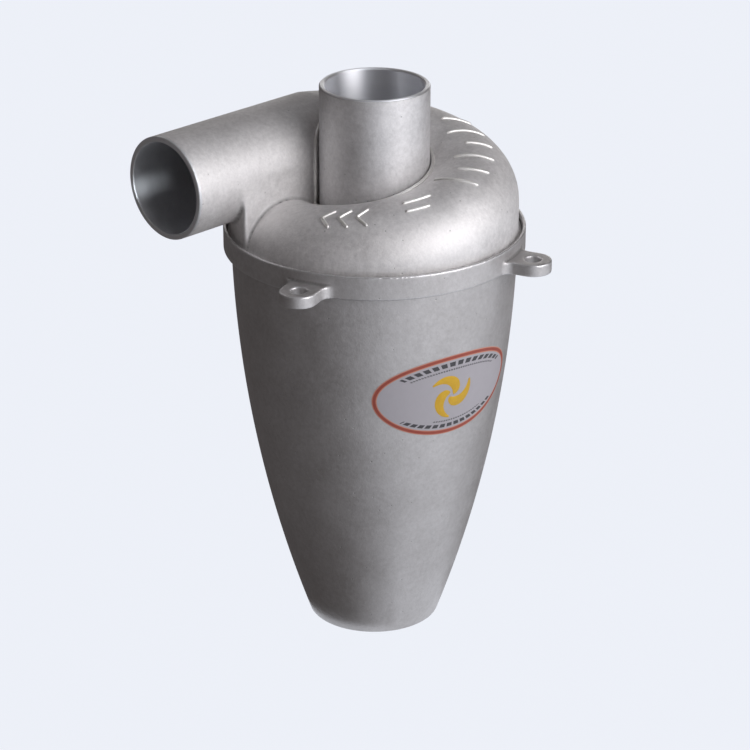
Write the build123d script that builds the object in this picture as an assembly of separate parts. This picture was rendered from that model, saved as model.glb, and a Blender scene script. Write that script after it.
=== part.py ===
from build123d import *
import math
import os

# Cyclone dust collector: a cast barrel, a cast spiral head, the tube that runs down through the head,
# and the gasket between the two castings. Millimetres and degrees. The origin is the centre of the
# barrel's bottom rim, +Z runs up the barrel's axis and the inlet's mouth faces -X.

# Barrel shell: a taper that bulges outwards, open at both ends
base_radius = 30.7
waist_radius = 55.6
shoulder_radius = 65.4
shell_height = 185.7
shoulder_draft = 1.5
shell_wall = 3.0

# Ring round the barrel's top, with the rebate that the head sits in
ring_overhang = 3.6
ring_height = 10.8
lip_wall = 1.4
rebate_depth = 7.0
ring_edge_chamfer = 0.5
ring_root_chamfer = 1.4

# Mounting ears on the ring
ear_count = 4
first_ear_angle = 20.0
ear_reach = 9.0
ear_hole_radius = 3.75
ear_tip_radius = 8.5
ear_root_fillet = 5.0
ear_thickness = 5.7

# Gasket and the head's flange in the rebate
gasket_thickness = 1.5
flange_thickness = 3.0
seat_clearance = 0.3

# Head: a round passage that starts at the inlet and winds down round the outlet
groove_width = 2.0
inlet_radius = 23.5
head_wall = 3.0
inlet_lift = 4.5
inlet_reach = 89.0
inlet_mouth_wall = 2.5
inlet_bore_depth = 40.0
roof_drop_per_turn = 44.0
roof_end_angle = 120.0

# Outlet tube, which goes on down as the vortex finder
outlet_radius = 25.0
outlet_wall = 2.5
outlet_above_inlet_axis = 37.6
finder_below_ring = 46.5
tube_edge_chamfer = 0.6
tube_clearance = 0.1

# Heights and radii that follow from the sizes above
ring_radius = shoulder_radius + ring_overhang
ring_top = shell_height + ring_height
ledge_height = ring_top - rebate_depth
rebate_radius = ring_radius - lip_wall
ear_circle_radius = ring_radius + ear_reach
head_base = ledge_height + gasket_thickness
drum_radius = rebate_radius - groove_width
inlet_bore_radius = inlet_radius - inlet_mouth_wall
outlet_bore_radius = outlet_radius - outlet_wall
inlet_axis_height = ring_top + inlet_lift + inlet_radius
passage_radius = drum_radius - inlet_radius
outlet_top = inlet_axis_height + outlet_above_inlet_axis
finder_bottom = ring_top - finder_below_ring
shoulder_heading = (-math.sin(math.radians(shoulder_draft)), -math.cos(math.radians(shoulder_draft)))
barrel_bore_radius = shoulder_radius + shell_wall / shoulder_heading[1]


def shell_section():
    """Return the half section of the shell and its ring, to the right of the axis."""
    waist_height = shell_height / 2
    upper = TangentArc((shoulder_radius, shell_height), (waist_radius, waist_height), tangent=shoulder_heading)
    lower = TangentArc(upper @ 1, (base_radius, 0), tangent=upper % 1)
    bore_waist = (waist_radius + shell_wall / (upper % 1).Y, waist_height)
    bore_base = (base_radius + shell_wall / (lower % 1).Y, 0)
    bore_upper = TangentArc((barrel_bore_radius, shell_height), bore_waist, tangent=shoulder_heading)
    bore_lower = TangentArc(bore_upper @ 1, bore_base, tangent=bore_upper % 1)
    foot = Line(lower @ 1, bore_lower @ 1)
    ring_path = Polyline(
        bore_upper @ 0,
        (barrel_bore_radius, ledge_height),
        (rebate_radius, ledge_height),
        (rebate_radius, ring_top),
        (ring_radius, ring_top),
        (ring_radius, shell_height),
        upper @ 0,
    )
    return make_face([upper, lower, foot, bore_lower, bore_upper, ring_path])


def barrel_shell():
    """Return the shell and its ring, turned from the half section, with its edges broken."""
    section = shell_section()
    root = section.vertices().sort_by_distance((shoulder_radius, shell_height))[0]
    section = chamfer(root, ring_root_chamfer)
    outer_corners = section.vertices().filter_by(lambda v: abs(v.X - ring_radius) < 0.001)
    section = chamfer(outer_corners, ring_edge_chamfer)
    return revolve(Plane.XZ * section, Axis.Z)


def ear():
    """Return one ear on the +X side, with its hole, curved into the ring and clear of the rebate."""
    fillet_y = ear_tip_radius + ear_root_fillet
    fillet_x = math.sqrt((ring_radius + ear_root_fillet) ** 2 - fillet_y**2)
    web = make_face(Polyline((0, 0), (fillet_x, -fillet_y), (fillet_x, fillet_y), close=True))
    web -= [Pos(fillet_x, side * fillet_y) * Circle(ear_root_fillet) for side in (1, -1)]
    tip = Pos(ear_circle_radius, 0) * Circle(ear_tip_radius)
    arm = Pos(ear_circle_radius / 2, 0) * Rectangle(ear_circle_radius, 2 * ear_tip_radius)
    outline = web + arm + tip - Circle(ring_radius - lip_wall / 2)
    outline -= Pos(ear_circle_radius, 0) * Circle(ear_hole_radius)
    return Pos(0, 0, shell_height) * extrude(outline, ear_thickness)


def barrel():
    """Return the barrel casting."""
    casting = barrel_shell()
    for index in range(ear_count):
        casting += Rot(0, 0, first_ear_angle + index * 360 / ear_count) * ear()
    return casting


def rim_gasket():
    """Return the flat ring that lies on the ledge inside the ring."""
    inner = barrel_bore_radius + seat_clearance
    outer = rebate_radius - seat_clearance
    return Pos(0, 0, ledge_height) * extrude(Circle(outer) - Circle(inner), gasket_thickness)


def spiral_body(radius):
    """Return a body with a round top of this radius and upright sides, wound down round the outlet."""
    turn = 360 + 90 - roof_end_angle
    drop = roof_drop_per_turn * turn / 360
    depth = inlet_axis_height - head_base + inlet_radius
    crown = CenterArc((passage_radius, 0), radius, 0, 180)
    sides = Polyline(crown @ 1, (passage_radius - radius, -depth), (passage_radius + radius, -depth), crown @ 0)
    section = Plane.XZ * make_face([crown, sides])
    path = Helix(roof_drop_per_turn, drop, passage_radius)
    body = sweep(section, path=path, is_frenet=True)
    return Pos(0, 0, inlet_axis_height - drop) * Rot(0, 0, roof_end_angle) * body


def inlet_body(inset):
    """Return the round inlet and the upright wall space below it, moved in by inset."""
    radius = inlet_radius - inset
    pipe = Pos(0, passage_radius, inlet_axis_height) * Rot(0, -90, 0) * extrude(Circle(radius), inlet_reach)
    side = passage_radius - radius
    under = Circle(drum_radius - inset) & Pos(-drum_radius / 2, side + drum_radius / 2) * Rectangle(
        drum_radius, drum_radius
    )
    return pipe + Pos(0, 0, head_base) * extrude(under, inlet_axis_height - head_base)


def head():
    """Return the head casting: spiral roof, drum wall, inlet and flange."""
    below = Pos(0, 0, head_base - drum_radius) * Cylinder(drum_radius * 2, drum_radius * 2)
    outside = spiral_body(inlet_radius) + inlet_body(0) - below
    inside = spiral_body(inlet_radius - head_wall) + inlet_body(head_wall)
    flange = Circle(rebate_radius - seat_clearance) - Circle(barrel_bore_radius + seat_clearance)
    tube_hole = Pos(0, 0, head_base) * extrude(Circle(outlet_radius + tube_clearance), outlet_top)
    mouth = Pos(-inlet_reach, passage_radius, inlet_axis_height) * Rot(0, 90, 0)
    casting = outside - inside - mouth * extrude(Circle(inlet_bore_radius), inlet_bore_depth)
    casting += Pos(0, 0, head_base) * extrude(flange, flange_thickness)
    return casting - tube_hole


def outlet_tube():
    """Return the tube through the head, open at both ends."""
    tube = Circle(outlet_radius) - Circle(outlet_bore_radius)
    tube = Pos(0, 0, finder_bottom) * extrude(tube, outlet_top - finder_bottom)
    rim = tube.faces().sort_by(Axis.Z)[-1].edges()
    return chamfer(rim, tube_edge_chamfer)


os.makedirs("parts", exist_ok=True)
export_step(barrel(), "parts/barrel.step")
export_step(rim_gasket(), "parts/rim_gasket.step")
export_step(head(), "parts/head.step")
export_step(outlet_tube(), "parts/outlet_tube.step")
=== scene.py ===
import logging
import math
from dataclasses import dataclass
from enum import Enum

import bmesh
import bpy
import numpy as np
from mathutils import Matrix, Quaternion, Vector


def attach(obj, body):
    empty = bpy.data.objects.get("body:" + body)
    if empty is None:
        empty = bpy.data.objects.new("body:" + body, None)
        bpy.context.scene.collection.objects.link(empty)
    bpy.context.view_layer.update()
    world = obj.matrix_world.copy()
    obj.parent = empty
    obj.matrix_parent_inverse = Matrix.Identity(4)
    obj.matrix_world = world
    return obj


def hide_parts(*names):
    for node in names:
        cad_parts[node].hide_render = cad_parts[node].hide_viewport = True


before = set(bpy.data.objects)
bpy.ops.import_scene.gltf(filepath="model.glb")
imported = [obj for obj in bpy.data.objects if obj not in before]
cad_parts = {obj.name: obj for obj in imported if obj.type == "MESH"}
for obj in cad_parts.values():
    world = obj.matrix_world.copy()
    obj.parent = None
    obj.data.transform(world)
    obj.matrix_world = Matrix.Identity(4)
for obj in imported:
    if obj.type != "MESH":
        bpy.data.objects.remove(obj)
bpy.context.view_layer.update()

LOG = logging.getLogger("cyclone")
MM = 0.001
ROOT = "root"

Piece = bpy.types.Object
Mesh = bpy.types.Mesh
Material = bpy.types.Material
Triple = tuple[float, float, float]


class Signal:
    """One output of a node, which takes part in Python sums."""

    def __init__(self, board: "Board", socket: bpy.types.NodeSocket) -> None:
        """Keep the socket and the board that it stands on."""
        self.board = board
        self.socket = socket

    def __add__(self, other: "Term") -> "Signal":
        """Return self + other."""
        return self.board.math("ADD", self, other)

    def __radd__(self, other: "Term") -> "Signal":
        """Return other + self."""
        return self.board.math("ADD", other, self)

    def __sub__(self, other: "Term") -> "Signal":
        """Return self - other."""
        return self.board.math("SUBTRACT", self, other)

    def __rsub__(self, other: "Term") -> "Signal":
        """Return other - self."""
        return self.board.math("SUBTRACT", other, self)

    def __mul__(self, other: "Term") -> "Signal":
        """Return self * other."""
        return self.board.math("MULTIPLY", self, other)

    def __rmul__(self, other: "Term") -> "Signal":
        """Return other * self."""
        return self.board.math("MULTIPLY", other, self)

    def __truediv__(self, other: "Term") -> "Signal":
        """Return self / other."""
        return self.board.math("DIVIDE", self, other)

    def __rtruediv__(self, other: "Term") -> "Signal":
        """Return other / self."""
        return self.board.math("DIVIDE", other, self)

    def __neg__(self) -> "Signal":
        """Return self with its sign changed."""
        return self.board.math("MULTIPLY", self, -1.0)

    def __gt__(self, other: "Term") -> "Signal":
        """Return 1 where self is greater than other, else 0."""
        return self.board.math("GREATER_THAN", self, other)

    def __lt__(self, other: "Term") -> "Signal":
        """Return 1 where self is less than other, else 0."""
        return self.board.math("LESS_THAN", self, other)

    def least(self, other: "Term") -> "Signal":
        """Return the smaller of self and other."""
        return self.board.math("MINIMUM", self, other)

    def most(self, other: "Term") -> "Signal":
        """Return the larger of self and other."""
        return self.board.math("MAXIMUM", self, other)

    def clamp(self, low: float = 0.0, high: float = 1.0) -> "Signal":
        """Return self held between low and high."""
        return self.most(low).least(high)

    def span(self, start: float, end: float) -> "Signal":
        """Return a smooth rise from 0 at start to 1 at end."""
        values = {"Value": self, "From Min": start, "From Max": end}
        return self.board.put("ShaderNodeMapRange", {"interpolation_type": "SMOOTHSTEP"}, values)


Term = Signal | float


class Board:
    """A node tree under construction, for a material, the world or a Geometry Nodes modifier."""

    def __init__(self, tree: bpy.types.NodeTree) -> None:
        """Keep the tree."""
        self.tree = tree

    def add(self, kind: str, settings: dict | None = None, values: dict | None = None) -> bpy.types.Node:
        """Add one node.

        Args:
            kind: The node's type name.
            settings: Properties of the node, set first; "stops" sets a ramp's stops.
            values: Numbers or signals for its inputs, by name or place.

        Returns:
            The new node.
        """
        node = self.tree.nodes.new(kind)
        for name, setting in (settings or {}).items():
            if name == "stops":
                for index, (place, colour) in enumerate(setting):
                    stops = node.color_ramp.elements
                    stop = stops[index] if index < len(stops) else stops.new(place)
                    stop.position, stop.color = place, (*colour, 1.0)
            else:
                setattr(node, name, setting)
        for key, value in (values or {}).items():
            for each in value if isinstance(value, list) else [value]:
                if isinstance(each, Signal):
                    self.tree.links.new(each.socket, node.inputs[key])
                else:
                    node.inputs[key].default_value = each
        return node

    def put(
        self, kind: str, settings: dict | None = None, values: dict | None = None, out: str | int = 0
    ) -> Signal:
        """Add one node and return one of its outputs.

        Args:
            kind: The node's type name.
            settings: Properties of the node.
            values: Numbers or signals for its inputs.
            out: The output, by name or place.

        Returns:
            The output as a signal.
        """
        return Signal(self, self.add(kind, settings, values).outputs[out])

    def math(self, operation: str, *terms: Term) -> Signal:
        """Return the result of one Math node."""
        return self.put("ShaderNodeMath", {"operation": operation}, dict(enumerate(terms)))

    def blend(self, factor: Term, first: "Signal | tuple", second: "Signal | tuple") -> Signal:
        """Return the colour between first and second."""
        first, second = (c if isinstance(c, Signal) else (*c, 1.0) for c in (first, second))
        return self.put("ShaderNodeMix", {"data_type": "RGBA"}, {0: factor, 6: first, 7: second}, 2)

    def axes(self, vector: Signal) -> tuple[Signal, Signal, Signal]:
        """Return the three parts of a vector."""
        node = self.add("ShaderNodeSeparateXYZ", None, {0: vector})
        return tuple(Signal(self, out) for out in node.outputs)

    def vector(self, x: Term, y: Term, z: Term) -> Signal:
        """Return a vector from its three parts."""
        return self.put("ShaderNodeCombineXYZ", None, {0: x, 1: y, 2: z})

    def noise(self, vector: Signal, scale: float, detail: float = 2.0, roughness: float = 0.5) -> Signal:
        """Return a noise of the given scale, in turns to the metre."""
        values = {"Vector": vector, "Scale": scale, "Detail": detail, "Roughness": roughness}
        return self.put("ShaderNodeTexNoise", None, values)


class Forge(Board):
    """A Geometry Nodes tree under construction, with named inputs."""

    def __init__(self, name: str, sizes: dict[str, float], takes_mesh: bool = False) -> None:
        """Start the tree.

        Args:
            name: The tree's name.
            sizes: Its named inputs and their values.
            takes_mesh: True where the tree works on its object's own mesh.
        """
        super().__init__(bpy.data.node_groups.new(name, "GeometryNodeTree"))
        face = self.tree.interface
        if takes_mesh:
            face.new_socket("Geometry", in_out="INPUT", socket_type="NodeSocketGeometry")
        for label in sizes:
            face.new_socket(label, in_out="INPUT", socket_type="NodeSocketFloat")
        face.new_socket("Geometry", in_out="OUTPUT", socket_type="NodeSocketGeometry")
        self.sizes = sizes
        self.entry = self.tree.nodes.new("NodeGroupInput")

    def size(self, label: str) -> Signal:
        """Return a named input."""
        return Signal(self, self.entry.outputs[label])

    @property
    def given(self) -> Signal:
        """Return the mesh that the tree starts from."""
        return Signal(self, self.entry.outputs["Geometry"])

    def place(self) -> tuple[Signal, Signal, Signal]:
        """Return the three parts of each point's place."""
        return self.axes(self.put("GeometryNodeInputPosition"))

    def rod(self, start: Signal, end: Signal, radius: Term, sides: int = 160, count: int = 2) -> Signal:
        """Return a closed round rod.

        Args:
            start: The centre of one end.
            end: The centre of the other end.
            radius: Its radius.
            sides: The number of its sides.
            count: The number of its cross sections.

        Returns:
            The rod.
        """
        line = self.put("GeometryNodeCurvePrimitiveLine", None, {"Start": start, "End": end})
        line = self.put("GeometryNodeResampleCurve", None, {"Curve": line, "Count": count})
        ring = self.put("GeometryNodeCurvePrimitiveCircle", None, {"Resolution": sides, "Radius": radius})
        values = {"Curve": line, "Profile Curve": ring, "Fill Caps": True}
        return self.put("GeometryNodeCurveToMesh", None, values)

    def cone(self, low: Term, high: Term, low_radius: Term, high_radius: Term, sides: int = 320) -> Signal:
        """Return an upright closed cone on the Z axis.

        Args:
            low: The height of its underside.
            high: The height of its top.
            low_radius: Its radius at its underside.
            high_radius: Its radius at its top.
            sides: The number of its sides.

        Returns:
            The cone.
        """
        values = {"Vertices": sides, "Radius Top": high_radius, "Radius Bottom": low_radius}
        cone = self.put("GeometryNodeMeshCone", None, values | {"Depth": high - low})
        return self.moved(cone, self.vector(0.0, 0.0, low))

    def moved(self, thing: Signal, shift: Signal) -> Signal:
        """Return a thing in its new place."""
        return self.put("GeometryNodeTransform", None, {"Geometry": thing, "Translation": shift})

    def spread(self, thing: Signal, count: int, first: Term) -> Signal:
        """Return copies of a thing, set evenly round the Z axis.

        Args:
            thing: The thing in its first place before it is turned.
            count: The number of copies.
            first: The angle of the first one, in radians.

        Returns:
            The copies, as real geometry.
        """
        spots = self.put("GeometryNodePoints", None, {"Count": count})
        index = self.put("GeometryNodeInputIndex")
        turn = self.vector(0.0, 0.0, first + index * (math.tau / count))
        turn = self.put("FunctionNodeEulerToRotation", None, {0: turn})
        values = {"Points": spots, "Instance": thing, "Rotation": turn}
        copies = self.put("GeometryNodeInstanceOnPoints", None, values)
        return self.put("GeometryNodeRealizeInstances", None, {"Geometry": copies})

    def bead(self, lines: Signal, radius: Term, scale: Term, sides: int) -> Signal:
        """Return a round bead with closed ends along each line.

        Args:
            lines: The lines, as a curve.
            radius: The bead's radius.
            scale: What the radius is multiplied by along the line.
            sides: The number of its sides.

        Returns:
            The bead.
        """
        ring = self.put("GeometryNodeCurvePrimitiveCircle", None, {"Resolution": sides, "Radius": radius})
        values = {"Curve": lines, "Profile Curve": ring, "Scale": scale, "Fill Caps": True}
        return self.put("GeometryNodeCurveToMesh", None, values)

    def block(self, low: tuple, high: tuple) -> Signal:
        """Return a box between two corners, each given as three numbers or signals."""
        size = self.vector(*(b - a for a, b in zip(low, high)))
        centre = self.vector(*((a + b) * 0.5 for a, b in zip(low, high)))
        return self.moved(self.put("GeometryNodeMeshCube", None, {"Size": size}), centre)

    def fuse(self, operation: str, parts: list[Signal], base: Signal | None = None) -> Signal:
        """Return the union or intersection of parts, or what base keeps when they are cut away."""
        values = {"Mesh 2": parts}
        if base:
            values["Mesh 1"] = base
        return self.put("GeometryNodeMeshBoolean", {"operation": operation, "solver": "MANIFOLD"}, values)

    def bake(self, name: str, geometry: Signal, material: Material, mesh: Mesh | None = None) -> Piece:
        """Close the tree, run it once and keep the result as a plain mesh.

        Args:
            name: The new object's name.
            geometry: What the tree gives.
            material: The material that it is given.
            mesh: The mesh that the tree starts from, where it takes one.

        Returns:
            The new object.
        """
        real = self.put("GeometryNodeRealizeInstances", None, {"Geometry": geometry})
        done = self.put("GeometryNodeSetMaterial", None, {"Geometry": real, "Material": material})
        self.add("NodeGroupOutput", None, {0: done})
        seed = bpy.data.objects.new(name + "_seed", mesh or bpy.data.meshes.new(name + "_seed"))
        bpy.context.scene.collection.objects.link(seed)
        modifier = seed.modifiers.new("form", "NODES")
        modifier.node_group = self.tree
        for item in self.tree.interface.items_tree:
            if item.in_out == "INPUT" and item.name in self.sizes:
                modifier[item.identifier] = self.sizes[item.name]
        made = settle(seed, name, material)
        bpy.data.objects.remove(seed)
        return made


def settle(thing: Piece, name: str, material: Material) -> Piece:
    """Return a new object whose plain mesh is what an object's modifiers give.

    Args:
        thing: The object with its modifiers.
        name: The new object's name.
        material: The material of all its faces.

    Returns:
        The new object, linked to the scene.
    """
    bpy.context.view_layer.update()
    ready = thing.evaluated_get(bpy.context.evaluated_depsgraph_get())
    mesh = bpy.data.meshes.new_from_object(ready)
    mesh.name = name
    mesh.materials.clear()
    mesh.materials.append(material)
    mesh.polygons.foreach_set("material_index", [0] * len(mesh.polygons))
    made = bpy.data.objects.new(name, mesh)
    bpy.context.scene.collection.objects.link(made)
    return made


def plain_mesh(name: str, points: list, faces: list, edges: list | None = None) -> Mesh:
    """Return a mesh from its points and faces, with its faces pointing outwards.

    Args:
        name: The mesh's name.
        points: The places of its points.
        faces: The points of each face.
        edges: The points of each edge, for a mesh of lines.

    Returns:
        The mesh.
    """
    mesh = bpy.data.meshes.new(name)
    mesh.from_pydata([tuple(float(v) for v in p) for p in points], edges or [], faces)
    if faces:
        work = bmesh.new()
        work.from_mesh(mesh)
        bmesh.ops.recalc_face_normals(work, faces=work.faces)
        work.to_mesh(mesh)
        work.free()
    return mesh


def chain(points: list) -> Mesh:
    """Return a mesh of one closed line through points."""
    count = len(points)
    return plain_mesh("line", points, [], [(i, (i + 1) % count) for i in range(count)])


def loft(name: str, rings: list[list], closed: bool) -> Mesh:
    """Return a closed skin through rings of points.

    Args:
        name: The mesh's name.
        rings: The rings, each a list of the same number of points.
        closed: True where the last ring joins the first; otherwise both ends are capped.

    Returns:
        The mesh.
    """
    size, count = len(rings[0]), len(rings)
    points = [point for ring in rings for point in ring]
    faces = []
    for i in range(count if closed else count - 1):
        a, b = i * size, (i + 1) % count * size
        faces += [(a + k, a + (k + 1) % size, b + (k + 1) % size, b + k) for k in range(size)]
    if not closed:
        faces += [tuple(range(size)), tuple(range((count - 1) * size, count * size))]
    return plain_mesh(name, points, faces)


def finished(name: str, mesh: Mesh, material: Material, crease: float = 35.0) -> Piece:
    """Return an object with a smooth mesh whose sharp edges stay sharp.

    Args:
        name: The object's name.
        mesh: Its mesh.
        material: Its material.
        crease: The angle in degrees from which an edge is sharp.

    Returns:
        The object, linked to the scene.
    """
    mesh.name = name
    mesh.materials.clear()
    mesh.materials.append(material)
    mesh.shade_smooth()
    mesh.set_sharp_from_angle(angle=math.radians(crease))
    made = bpy.data.objects.new(name, mesh)
    bpy.context.scene.collection.objects.link(made)
    return made


def soften(thing: Piece, voxel: float, keep: float, material: Material) -> Piece:
    """Return a piece as it comes out of the mould, with its corners and joins rounded.

    Args:
        thing: A closed piece with sharp edges, which is removed.
        voxel: The size of the grid that the surface is drawn on.
        keep: The part of its faces that is kept, with the flattest places thinned first.
        material: Its material.

    Returns:
        The rounded piece.
    """
    name = thing.name
    grid = thing.modifiers.new("grid", "REMESH")
    grid.mode, grid.voxel_size, grid.use_smooth_shade = "VOXEL", voxel, True
    ease = thing.modifiers.new("ease", "SMOOTH")
    ease.factor, ease.iterations = 0.5, 3
    if keep < 1.0:
        thing.modifiers.new("thin", "DECIMATE").ratio = keep
    made = settle(thing, name + "_soft", material)
    bpy.data.objects.remove(thing)
    made.name = made.data.name = name
    return made


def mark_wear_and_shade(thing: Piece, rounds: int = 3) -> None:
    """Store how far each point stands out, as crest, for worn edges, or lies in a corner, as hollow, for
    painted shade.

    Args:
        thing: The piece, whose mesh is fine and even.
        rounds: How many times the measure is spread to the neighbours.
    """
    mesh = thing.data
    count = len(mesh.vertices)
    place, normal = np.empty(count * 3), np.empty(count * 3)
    mesh.vertices.foreach_get("co", place)
    mesh.vertices.foreach_get("normal", normal)
    place, normal = place.reshape(-1, 3), normal.reshape(-1, 3)
    pairs = np.empty(len(mesh.edges) * 2, np.int32)
    mesh.edges.foreach_get("vertices", pairs)
    first, second = pairs.reshape(-1, 2).T
    degree = np.bincount(first, minlength=count) + np.bincount(second, minlength=count)
    degree = np.maximum(degree, 1)
    span = place[second] - place[first]
    square = np.maximum((span**2).sum(1), 1e-14)
    bend = np.bincount(first, (span * normal[first]).sum(1) / square, count)
    bend -= np.bincount(second, (span * normal[second]).sum(1) / square, count)
    bend = bend / degree
    for _ in range(rounds):
        near = np.bincount(first, bend[second], count) + np.bincount(second, bend[first], count)
        bend = 0.4 * bend + 0.6 * near / degree
    for label, value in (("crest", -bend), ("hollow", bend)):
        layer = mesh.attributes.new(label, "FLOAT", "POINT")
        layer.data.foreach_set("value", np.clip((value - 60.0) / 260.0, 0.0, 1.0).astype(np.float32))


class Heading(Enum):
    """The line that a machined bore runs along."""

    UPRIGHT = "upright"
    ALONG_INLET = "along the inlet"


@dataclass(frozen=True)
class Lathe:
    """A lathe that turns a closed profile into a ring-shaped solid."""

    heading: Heading
    centre: tuple[float, float] = (0.0, 0.0)
    sides: int = 256

    def turn(self, name: str, profile: list[tuple[float, float]]) -> Mesh:
        """Turn one profile.

        Args:
            name: The mesh's name.
            profile: Its corners, each a radius and a place along the axis.

        Returns:
            The turned mesh.
        """
        rings = []
        for index in range(self.sides):
            angle = math.tau * index / self.sides
            ring = [(r * math.cos(angle), r * math.sin(angle), along) for r, along in profile]
            rings.append([self.place(*point) for point in ring])
        return loft(name, rings, True)

    def place(self, across: float, over: float, along: float) -> Triple:
        """Return the place of a point that is given from the lathe's own axis."""
        across, over = across + self.centre[0], over + self.centre[1]
        return (across, over, along) if self.heading is Heading.UPRIGHT else (-along, across, over)


@dataclass(frozen=True)
class Bend:
    """A circular arc of the barrel's half section, which leaves its start along a known heading."""

    start: tuple[float, float]
    heading: tuple[float, float]
    end: tuple[float, float]

    @property
    def radius(self) -> float:
        """Return its radius."""
        dx, dz = self.end[0] - self.start[0], self.end[1] - self.start[1]
        return (dx * dx + dz * dz) / (2.0 * (dx * self.heading[1] - dz * self.heading[0]))

    @property
    def centre(self) -> tuple[float, float]:
        """Return its centre."""
        return self.start[0] + self.heading[1] * self.radius, self.start[1] - self.heading[0] * self.radius

    @property
    def leaving(self) -> tuple[float, float]:
        """Return its heading at its end."""
        across, up = ((c - e) / self.radius for c, e in zip(self.centre, self.end))
        return -up, across

    def points(self, count: int) -> list[tuple[float, float]]:
        """Return points along it, with both ends."""
        (x, z), reach = self.centre, abs(self.radius)
        ends = [math.atan2(p[1] - z, p[0] - x) for p in (self.start, self.end)]
        return [(x + reach * math.cos(a), z + reach * math.sin(a)) for a in np.linspace(*ends, count)]


@dataclass(frozen=True)
class Bore:
    """A turned upright bore on the Z axis and the turned rim at its mouth."""

    radius: float
    mouth: float

    def mask(self, board: Board, place: Signal) -> Signal:
        """Return 1 on the bore and on its rim, and 0 on the rest.

        Args:
            board: The material's board.
            place: The position on the object.

        Returns:
            The mask.
        """
        x, y, z = board.axes(place)
        reach = board.math("SQRT", x * x + y * y)
        return ((reach < self.radius + 0.4 * MM) + (z > self.mouth - 0.35 * MM)).clamp()


def blank(name: str) -> tuple[Material, Board, Signal]:
    """Return an empty material, its board and the position on the object."""
    made = bpy.data.materials.new(name)
    made.use_nodes = True
    made.node_tree.nodes.clear()
    board = Board(made.node_tree)
    return made, board, board.put("ShaderNodeTexCoord", None, None, "Object")


def close(board: Board, shader: Signal) -> None:
    """Join a shader to its material's output."""
    board.add("ShaderNodeOutputMaterial", None, {"Surface": shader})


@dataclass(frozen=True)
class Finish:
    """A finish, which makes a material of its own name."""

    name: str

    def shader(self, board: Board, place: Signal) -> Signal:
        """Return the finish as a shader.

        Args:
            board: The material's board.
            place: The position on the object.

        Returns:
            The shader.
        """
        raise NotImplementedError

    def material(self) -> Material:
        """Return the finish as a material."""
        made, board, place = blank(self.name)
        close(board, self.shader(board, place))
        return made


@dataclass(frozen=True)
class BlastedCasting(Finish):
    """Cast aluminium after shot blasting: a fine dull grain, with painted shade in its hollows and brighter
    on worn edges.
    """

    light: Triple = (0.61, 0.598, 0.598)
    dark: Triple = (0.45, 0.435, 0.43)
    metal: float = 0.75
    rough: float = 0.48
    grain: float = 0.9 * MM

    def shader(self, board: Board, place: Signal) -> Signal:
        """Return the finish as a shader.

        Args:
            board: The material's board.
            place: The position on the object.

        Returns:
            The shader.
        """
        grit = board.noise(place, 1.0 / self.grain, 3.0, 0.65)
        speck = board.noise(place, 0.42 / self.grain, 2.0, 0.6)
        patch = board.noise(place, 60.0, 3.0, 0.55)
        cloud = board.noise(place, 16.0, 2.0, 0.5)
        pits = board.put("ShaderNodeTexVoronoi", None, {"Vector": place, "Scale": 170.0})
        pit = 1.0 - pits.span(0.03, 0.075)
        crest = board.put("ShaderNodeAttribute", {"attribute_name": "crest"}, None, "Fac")
        hollow = board.put("ShaderNodeAttribute", {"attribute_name": "hollow"}, None, "Fac")

        tone = 0.5 + (speck - 0.5) * 1.1 + (patch - 0.5) * 0.9 + (cloud - 0.5) * 0.9 + (grit - 0.5) * 0.5
        colour = board.blend(tone.clamp(), self.dark, self.light)
        # Painted shade: the hollow measure blends corners and creases towards near black, for the shade that
        # falls there.
        colour = board.blend((hollow * 0.75).clamp(), colour, (0.10, 0.095, 0.09))
        colour = board.blend((crest * 0.6).clamp(), colour, (0.72, 0.72, 0.73))
        colour = board.blend(pit * 0.35, colour, (0.08, 0.08, 0.08))
        rough = self.rough + (speck - 0.5) * 0.18 + (patch - 0.5) * 0.12 + hollow * 0.2 - crest * 0.12
        height = grit * 0.6 + speck * 0.6 - pit * 1.2
        bump = board.put("ShaderNodeBump", None, {"Strength": 0.55, "Distance": 0.22 * MM, "Height": height})
        values = {"Base Color": colour, "Metallic": self.metal, "Roughness": rough, "Normal": bump}
        return board.put("ShaderNodeBsdfPrincipled", None, values)


@dataclass(frozen=True)
class TurnedMetal(Finish):
    """Bare aluminium from the lathe, with fine tool lines across its axis."""

    heading: Heading
    light: Triple = (0.66, 0.665, 0.675)
    dark: Triple = (0.50, 0.505, 0.515)
    rough: float = 0.3
    brushed: float = 0.0

    def shader(self, board: Board, place: Signal) -> Signal:
        """Return the finish as a shader.

        Args:
            board: The material's board.
            place: The position on the object.

        Returns:
            The shader.
        """
        x, _, z = board.axes(place)
        lay = z if self.heading is Heading.UPRIGHT else x
        lines = board.put("ShaderNodeTexNoise", {"noise_dimensions": "1D"}, {"W": lay, "Scale": 2600.0})
        wide = board.put("ShaderNodeTexNoise", {"noise_dimensions": "1D"}, {"W": lay, "Scale": 240.0})
        stain = board.noise(place, 70.0, 3.0, 0.6)
        colour = board.blend((wide * 0.35 + lines * 0.35 + stain * 0.3).clamp(), self.dark, self.light)
        bump = board.put("ShaderNodeBump", None, {"Strength": 0.3, "Distance": 0.05 * MM, "Height": lines})
        rough = self.rough + lines * 0.08 + stain * 0.08
        values = {"Base Color": colour, "Metallic": 0.9, "Roughness": rough, "Normal": bump}
        values |= {"Anisotropic": self.brushed, "Anisotropic Rotation": 0.25}
        return board.put("ShaderNodeBsdfPrincipled", None, values)


@dataclass(frozen=True)
class BoredCasting(Finish):
    """A casting whose upright bore and rim are turned."""

    casting: BlastedCasting
    turned: TurnedMetal
    bore: Bore

    def shader(self, board: Board, place: Signal) -> Signal:
        """Return the finish as a shader.

        Args:
            board: The material's board.
            place: The position on the object.

        Returns:
            The shader.
        """
        shaders = {0: self.bore.mask(board, place)}
        shaders |= {1: self.casting.shader(board, place), 2: self.turned.shader(board, place)}
        return board.put("ShaderNodeMixShader", None, shaders)


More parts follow.
